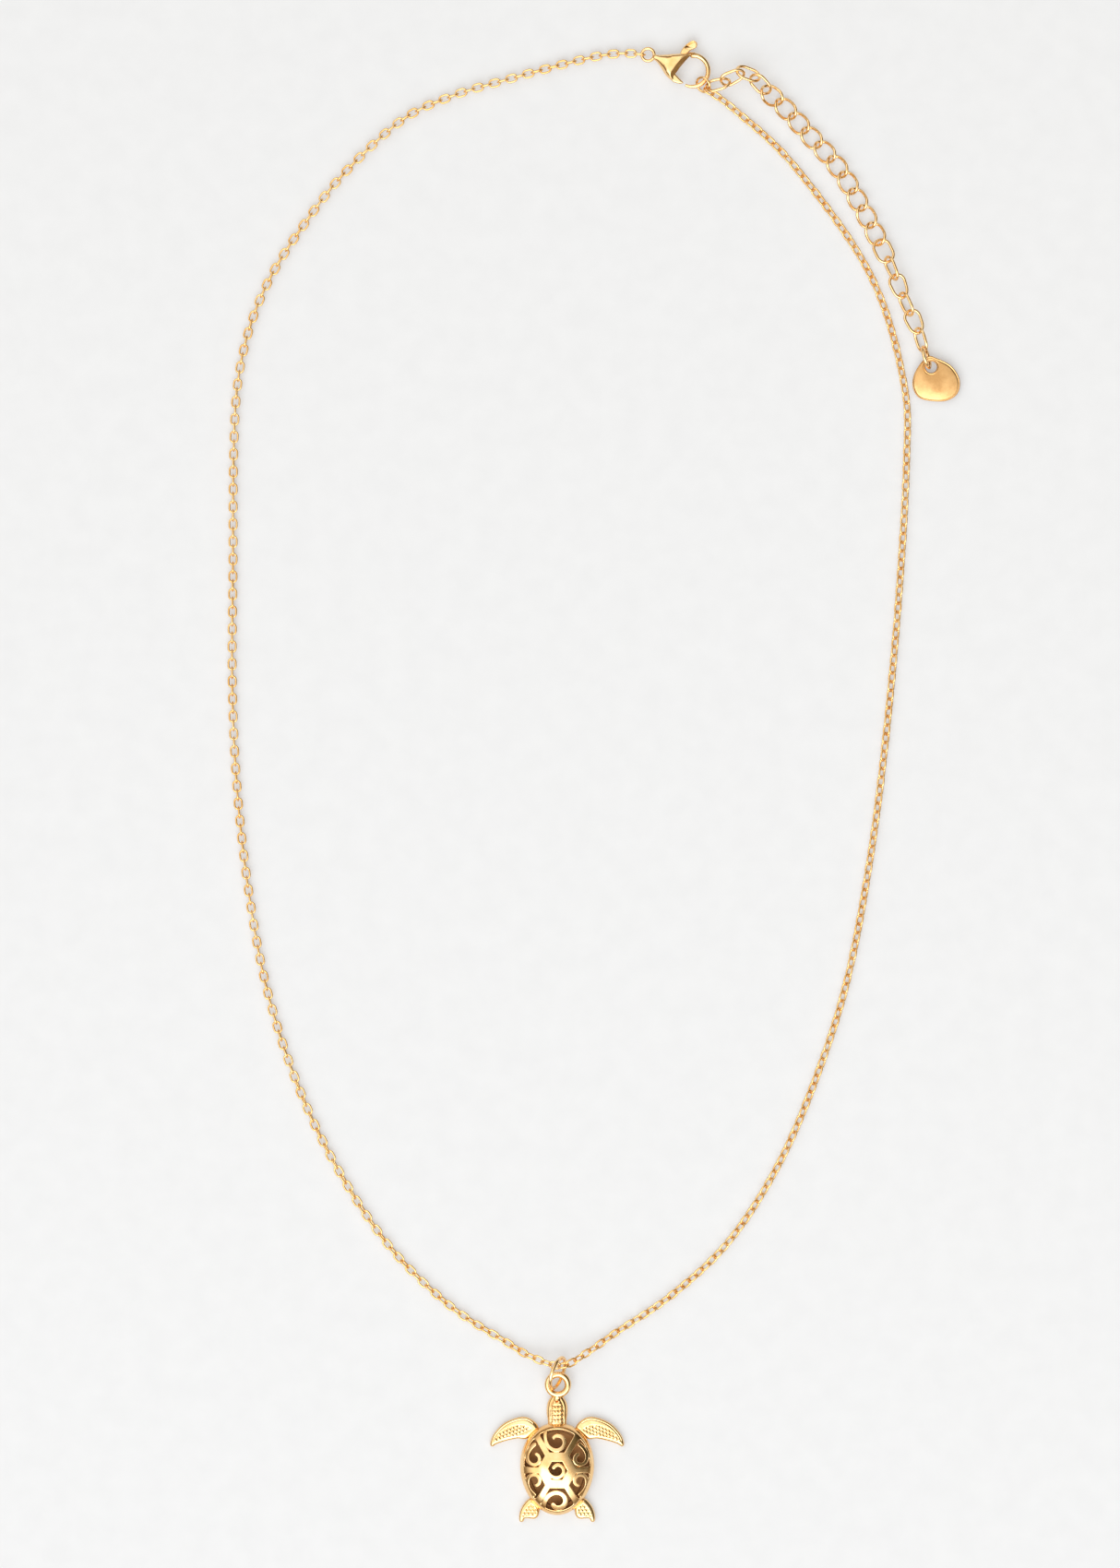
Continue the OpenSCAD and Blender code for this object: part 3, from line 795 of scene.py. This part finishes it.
def make_turtle_body():
    """Head, flippers and base rim as one relief, with the flippers' beaded fields."""
    front, front_field = smooth_loop(FRONT_FLIPPER, 5), smooth_loop(FRONT_FIELD, 4)
    hind, hind_field = smooth_loop(HIND_FLIPPER, 5), smooth_loop(HIND_FIELD, 4)
    head, face_band = smooth_loop(HEAD, 5), smooth_loop(FACE_BAND, 4)

    def distance(x, y):
        shell = outline_distance(egg(), x, y)
        limbs = np.minimum(outline_distance(front, np.abs(x), y),
                           outline_distance(hind, np.abs(x), y))
        outside = np.maximum(np.minimum(limbs, outline_distance(head, x, y)), -(shell + 0.5))
        return np.minimum(outside, shell)

    def top(x, y, depth):
        mirror_x = np.abs(x)
        flipper = np.minimum(outline_distance(front, mirror_x, y),
                             outline_distance(hind, mirror_x, y))
        swell = FLIPPER_SWELL * np.clip(-flipper / 0.5, 0, 1)
        leading = y > 7.9 - 0.45 * mirror_x
        fold = 0.07 * leading * np.exp(-((depth - 0.36) / 0.06) ** 2)
        limb = (FLIPPER_TOP - FLIPPER_SWELL + swell - fold
                + beaded(mirror_x, y, outline_distance(front_field, mirror_x, y), FRONT_LEAN)
                + beaded(mirror_x, y, outline_distance(hind_field, mirror_x, y), HIND_LEAN))
        face = face_height(x, y, outline_distance(face_band, x, y))
        z = np.where(outline_distance(head, x, y) < flipper, face, limb)
        shell = outline_distance(egg(), x, y)
        inside = np.where(shell < -LEDGE, BACK_TOP, BASE_TOP)
        return np.where(shell < -0.3, inside, z - rounding(depth, BODY_EDGE))

    def bottom(x, y, depth):
        return rounding(depth, BACK_EDGE)

    return relief(distance, top, bottom, (-9.6, -7.8), (9.6, 10.6), RELIEF_STEP)


LOOP_RADIUS = 1.41      # to the middle of the loop's wire
LOOP_WIRE = 0.9
LOOP_PLACE = [0.1, 11.8, 1.25]


def make_turtle_loop():
    """Round loop above the head, and the short neck that joins it."""
    loop = circle_line(LOOP_RADIUS, 96) + LOOP_PLACE
    ring = tube(loop, LOOP_WIRE / 2, (0, 0, 1), sides=20)
    neck_line = [(0.0, 9.7, 1.0), (0.02, 10.05, 1.1), (0.05, 10.3, 1.2), (0.08, 10.5, 1.25)]
    neck = tube(neck_line, np.array([0.6, 0.58, 0.5, 0.4]), (0, 0, 1), sides=16, closed=False)
    return [ring, neck]


make_shell()
turtle_verts, turtle_faces = joined([make_turtle_body()] + make_turtle_loop())
turtle_body = add_piece("turtle_body", turtle_verts + TURTLE_PLACE, turtle_faces, pendant_gold,
                        "turtle", ["turtle_base"])


def under_shell_painted_shade(middle, way):
    """Faces of the base that only show through the shell's windows, whichever way they look: they get
    the painted shade of the hollow.
    """
    place = middle - TURTLE_PLACE
    covered = outline_distance(egg(), place[:, 0], place[:, 1]) < -0.45
    return covered & (place[:, 2] > BACK_TOP / 2) & (place[:, 2] < BASE_TOP + 0.05)


# The base under the dome gets the painted shade too
paint_inside(turtle_body, painted_shade_gold, under_shell_painted_shade)


# ---------------------------------------------------------------- end tag

TAG_HOLE_PLACE = np.array([47.05, 57.95, 1.1])
TAG_TILT = 5            # degrees
TAG_HOLE = 1.6
TAG_THICKNESS = 0.7
TAG_DOME = 0.3          # how far the face's middle stands over its edge
TAG_GROOVE = 0.05
TAG_LIP = 0.07
TAG_EDGE = 0.14         # rounding of the tag's edges
TAG_OUTLINE = [
    (-0.6, 1.45), (0.9, 1.2), (2.9, 0.1), (4, -1.8), (3.7, -3.7), (2.2, -4.7),
    (0, -4.75), (-1.8, -4.2), (-2.6, -2.6), (-2.2, -0.6)]


def make_tag():
    """Drop-shaped tag, slightly domed, with a rolled edge. It is plain: its engraving is left out."""
    outline = smooth_loop(TAG_OUTLINE, 6)

    def distance(x, y):
        return np.maximum(outline_distance(outline, x, y), TAG_HOLE / 2 - np.hypot(x, y))

    def top(x, y, depth):
        dome = TAG_DOME * np.clip(1 - ((x - 0.7) / 3.9) ** 2 - ((y + 1.9) / 3.6) ** 2, 0, 1)
        groove = TAG_GROOVE * np.exp(-((depth - 0.24) / 0.06) ** 2)
        lip = TAG_LIP * np.clip(1 - depth / 0.2, 0, 1) * (np.hypot(x, y) > TAG_HOLE)
        return TAG_THICKNESS / 2 - TAG_DOME + dome - groove + lip - rounding(depth, TAG_EDGE)

    def bottom(x, y, depth):
        return -TAG_THICKNESS / 2 + rounding(depth, TAG_EDGE)

    verts, faces = relief(distance, top, bottom, (-2.9, -5.1), (4.3, 1.8), RELIEF_STEP)
    verts = verts @ turn_matrix(TAG_TILT, "X").T + TAG_HOLE_PLACE
    # The tag gets the darker gold, its painted shade
    add_piece("drop_tag", verts, faces, painted_shade_tag_gold, "end_tag", ["end_tag"])


make_tag()


# ---------------------------------------------------------------- lobster clasp

CLASP_PLACE = np.array([7.5, 101.6, 1.05])
CLASP_TURN = -20        # degrees
CLASP_THICKNESS = 2.1
EYE_RADIUS = 0.87       # to the middle of the eye's wire
EYE_WIRE = 0.46
HOOK_MIDDLE = np.array([6.6, 0, 0])
HOOK_RADIUS = 2.2
HOOK_START = 105        # directions from the hook's middle to its ends, in degrees
HOOK_END = -97
# The hook's wire radius at lengths from its hidden root to its tip
HOOK_LENGTHS = [0, 2.5, 4.1, 4.7, 5.5, 8, 11.5, 12.7]
HOOK_RADII = [0.28, 0.5, 0.5, 0.45, 0.36, 0.34, 0.3, 0.2]
LEVER_THICKNESS = 0.9
LEVER_EDGE = 0.22       # rounding of the lever's edges
SLOT_HALF = 0.53        # half the height of the lever's hollow
PIVOT = (4, -0.1)
PIN_RADIUS = 0.25
PIN_HALF = 0.85         # half the pin's length
CLASP_VOXEL = 0.045
CLASP_STEP = 0.05
POLISH_PASSES = 6
CLASP_BODY = [
    (0.75, 0.3), (1.5, 0.52), (2.4, 0.9), (3.6, 1.45), (4.8, 1.98), (5.7, 2.4), (6.0, 2.28),
    (5.85, 1.75), (5.5, 0.9), (5.1, -0.2), (4.85, -1.1), (4.7, -1.7), (4.45, -2.2), (3.95, -2.15),
    (3.1, -1.72), (2, -0.85), (1.3, -0.45), (0.75, -0.3)]
# The body's edge round the mouth, where its cheeks are cut away at a slant
MOUTH_EDGE = [(5.8, 1.6), (5.5, 0.9), (5.1, -0.2), (4.85, -1.1), (4.7, -1.7)]
MOUTH_SLANT = 0.8       # rise of that slant for each step away from the mouth
MOUTH_LIP = 0.26        # half thickness left at the mouth itself
# Half thickness of the cheeks from the eye to the hook
CHEEK_PLACES = [0.7, 1.6, 3.2, 5.0, 6.0]
CHEEK_HALVES = [0.30, 0.58, CLASP_THICKNESS / 2, CLASP_THICKNESS / 2, 0.7]
CHEEK_ROUNDING = 0.85
# Line along the body's back that carries the hook's wire into the cheeks
HOOK_ROOT = [
    (1.3, 0.1, 0), (2.4, 0.45, 0), (3.6, 0.95, 0), (4.6, 1.4, 0), (5.1, 1.66, 0), (5.6, 1.93, 0)]
# Hollow that the lever moves in, seen from above: open to the tab and to the mouth
SLOT_OUTLINE = [
    (2.5, -0.2), (2.6, 0.35), (3.2, 0.6), (3.35, 1.0), (3.0, 3.5), (5.25, 3.5), (5.25, 2.0),
    (5.7, 1.7), (6.3, 1.5), (6.3, -3.2), (4.25, -3.2), (4.1, -1.95), (3.3, -1.2)]
LEVER = [
    (4.2, 1.1), (4.15, 2.1), (4.5, 3.1), (5.15, 3.95), (5.85, 3.9), (6.0, 3.25),
    (5.4, 2.6), (5.1, 1.9), (4.9, 1.2), (4.5, 0.2), (4.5, -1.1), (5.0, -1.5), (5.9, -1.95), (5.8, -2.2),
    (5.2, -2.36), (4.4, -2.3), (3.9, -1.5), (3.5, -0.3), (3.7, 0.5)]
# The thumb tab's face falls away from its outer rim: from where, which way and how steeply
TAB_RIM = (5.75, 3.1)
TAB_FALL = (-0.79, 0.61)
TAB_SLOPE = 0.42
TAB_START = 2.5


def to_world(verts):
    """The clasp's own coordinates turned and moved to where it lies."""
    return verts @ turn_matrix(CLASP_TURN, "Z").T + CLASP_PLACE


def apply_modifiers(obj):
    """Puts the object's modifiers into its mesh."""
    graph = bpy.context.evaluated_depsgraph_get()
    mesh = bpy.data.meshes.new_from_object(obj.evaluated_get(graph))
    obj.modifiers.clear()
    obj.data = mesh
    mesh.polygons.foreach_set("use_smooth", [True] * len(mesh.polygons))


def prism(outline, half_height):
    """Closed upright block over an outline."""
    count = len(outline)
    verts = np.array([(px, py, z) for z in (-half_height, half_height) for px, py in outline])
    sides = [(i, (i + 1) % count, (i + 1) % count + count, i + count) for i in range(count)]
    return verts, sides + [tuple(range(count)), tuple(range(2 * count - 1, count - 1, -1))]


def make_cheeks():
    """The body's swelling, with its slanted face towards the mouth."""
    outline = smooth_loop(CLASP_BODY, 5)

    def height(x, y, depth):
        full = np.interp(x, CHEEK_PLACES, CHEEK_HALVES)
        reach = np.minimum(full, CHEEK_ROUNDING)
        slant = MOUTH_LIP + MOUTH_SLANT * line_distance(MOUTH_EDGE, x, y)
        return np.maximum(np.minimum(full - rounding(depth, reach), slant), 0.02)

    return relief(lambda x, y: outline_distance(outline, x, y), height,
                  lambda x, y, depth: -height(x, y, depth), (0.5, -2.6), (6.3, 2.8), CLASP_STEP)


def make_clasp_body():
    """Cast body: eye, cheeks and a tapering round hook, melted together and hollowed."""
    eye = tube(circle_line(EYE_RADIUS, 48), EYE_WIRE / 2, (0, 0, 1), sides=14)
    turn = np.radians(np.linspace(HOOK_START, HOOK_END, 60))
    bend = HOOK_MIDDLE + HOOK_RADIUS * np.c_[np.cos(turn), np.sin(turn), 0 * turn]
    hook_line = np.vstack([HOOK_ROOT, bend])
    thick = np.interp(lengths_along(hook_line), HOOK_LENGTHS, HOOK_RADII)
    hook = tube(hook_line, thick, (0, 0, 1), sides=16, closed=False)
    verts, faces = joined([make_cheeks(), eye, hook])
    body = raw_object("clasp_cast_body", to_world(verts), faces)
    remesh = body.modifiers.new("melt", "REMESH")
    remesh.mode = "VOXEL"
    remesh.voxel_size = CLASP_VOXEL * MM
    smooth = body.modifiers.new("polish", "SMOOTH")
    smooth.iterations = POLISH_PASSES
    apply_modifiers(body)
    slot_verts, slot_faces = prism(SLOT_OUTLINE, SLOT_HALF)
    slot = raw_object("slot_cutter", to_world(slot_verts), slot_faces)
    cut = body.modifiers.new("slot", "BOOLEAN")
    cut.object = slot
    cut.operation = "DIFFERENCE"
    cut.solver = "EXACT"
    apply_modifiers(body)
    bpy.data.objects.remove(slot)
    body.data.set_sharp_from_angle(angle=math.radians(40))
    finish_piece(body, findings_gold, "clasp", ["clasp_body"])


def make_lever():
    """Thin lever between the cheeks, with a dished thumb tab and a nose that closes the mouth."""
    outline = smooth_loop(LEVER, 6)
    half = LEVER_THICKNESS / 2

    def height(x, y, depth):
        fallen = (x - TAB_RIM[0]) * TAB_FALL[0] + (y - TAB_RIM[1]) * TAB_FALL[1]
        on_tab = np.clip((y - TAB_START) / 0.5, 0, 1) * np.clip((depth - 0.1) / 0.1, 0, 1)
        dish = on_tab * np.clip(TAB_SLOPE * fallen, 0, 0.5)
        return half - rounding(depth, LEVER_EDGE) - dish

    verts, faces = relief(lambda x, y: outline_distance(outline, x, y), height,
                          lambda x, y, depth: -height(x, y, depth), (3.3, -2.7), (6.3, 4.3), 0.04)
    add_piece("clasp_thumb_lever", to_world(verts), faces, findings_gold, "clasp_lever",
              ["clasp_lever"])


def make_pin():
    """Pin of the lever, ground flush with the cheeks."""
    line = [(*PIVOT, -PIN_HALF), (*PIVOT, 0), (*PIVOT, PIN_HALF)]
    verts, faces = tube(line, PIN_RADIUS, (1, 0, 0), sides=24, closed=False)
    add_piece("clasp_ground_pin", to_world(verts), faces, findings_gold, "clasp",
              ["clasp_pin"])


make_clasp_body()
make_lever()
make_pin()
spring_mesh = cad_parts["clasp_spring"].data
spring_mesh.materials.clear()
spring_mesh.materials.append(spring_metal)


# ---------------------------------------------------------------- table and light

TENT = 1.05
# Tent's colour from the table's edge up to straight overhead
TENT_COLOURS = [
    (0.0, (0.20, 0.15, 0.09)), (0.30, (0.26, 0.20, 0.13)), (0.48, (0.85, 0.82, 0.78)),
    (0.66, (1.54, 1.5, 1.43)), (1.0, (1.28, 1.25, 1.19))]
# Direction in which the tent has a dark patch, and the patch's edge
DARK_SIDE = (0.70, 0.35, 0.62)
DARK_PATCH = [(0.72, (1.0, 1.0, 1.0)), (0.9, (0.10, 0.09, 0.06))]
LAMP_WATTS = 5.0
LAMP_COLOUR = (0.94, 1.0, 1.1)
LAMP_PLACE = (-0.12, -0.55, 0.8)
LAMP_SIZE = (1.0, 0.8)
TABLE_GLOW = 0.33       # the table is lit a little from below, which keeps its shadows soft
TABLE_HALF = 3.0        # metres
TABLE_TOP = -0.00003    # metres, just under the lowest link


def make_table():
    """Plain pale table with a trace of paper grain."""
    material, n = new_material("table_paper")
    place = n.add("ShaderNodeTexCoord").outputs["Object"]
    grain = n.add("ShaderNodeTexNoise", {"Vector": place, "Scale": PAPER_SCALE, "Detail": 3})
    colour = n.ramp(grain.outputs["Fac"], [(0.3, (0.435, 0.44, 0.445)), (0.7, (0.455, 0.46, 0.465))])
    shader = n.add("ShaderNodeBsdfPrincipled",
                   {"Base Color": colour, "Roughness": 0.9, "Specular IOR Level": 0.1,
                    "Emission Color": (1, 1, 1, 1), "Emission Strength": TABLE_GLOW})
    n.add("ShaderNodeOutputMaterial", {"Surface": shader.outputs["BSDF"]})
    mesh = bpy.data.meshes.new("table")
    corners = [(x * TABLE_HALF, y * TABLE_HALF, TABLE_TOP)
               for x, y in ((-1, -1), (1, -1), (1, 1), (-1, 1))]
    mesh.from_pydata(corners, [], [(0, 1, 2, 3)])
    mesh.materials.append(material)
    link_object("table", mesh)


def make_light():
    """A bright tent that is dark along its foot and on its right shoulder, and a soft front lamp."""
    world = bpy.data.worlds.new("studio")
    scene.world = world
    world.use_nodes = True
    n = Nodes(world.node_tree)
    way = n.add("ShaderNodeTexCoord").outputs["Generated"]
    height = n.add("ShaderNodeSeparateXYZ", {"Vector": way}).outputs["Z"]
    tent = n.ramp(height, TENT_COLOURS)
    side = n.add("ShaderNodeVectorMath", {0: way, 1: DARK_SIDE}, operation="DOT_PRODUCT")
    shade = n.ramp(side.outputs["Value"], DARK_PATCH)
    shaded = n.add("ShaderNodeVectorMath", {0: tent, 1: shade}, operation="MULTIPLY")
    light = n.add("ShaderNodeBackground", {"Color": shaded.outputs["Vector"], "Strength": TENT})
    n.add("ShaderNodeOutputWorld", {"Surface": light.outputs["Background"]})
    data = bpy.data.lights.new("front_lamp", "AREA")
    data.shape = "RECTANGLE"
    data.size, data.size_y = LAMP_SIZE
    data.energy = LAMP_WATTS
    data.color = LAMP_COLOUR
    lamp = bpy.data.objects.new("front_lamp", data)
    lamp.location = LAMP_PLACE
    lamp.rotation_euler = (Vector((0, 0, 0)) - lamp.location).to_track_quat("-Z", "Y").to_euler()
    scene.collection.objects.link(lamp)


make_table()
make_light()
scene.view_settings.view_transform = "Standard"
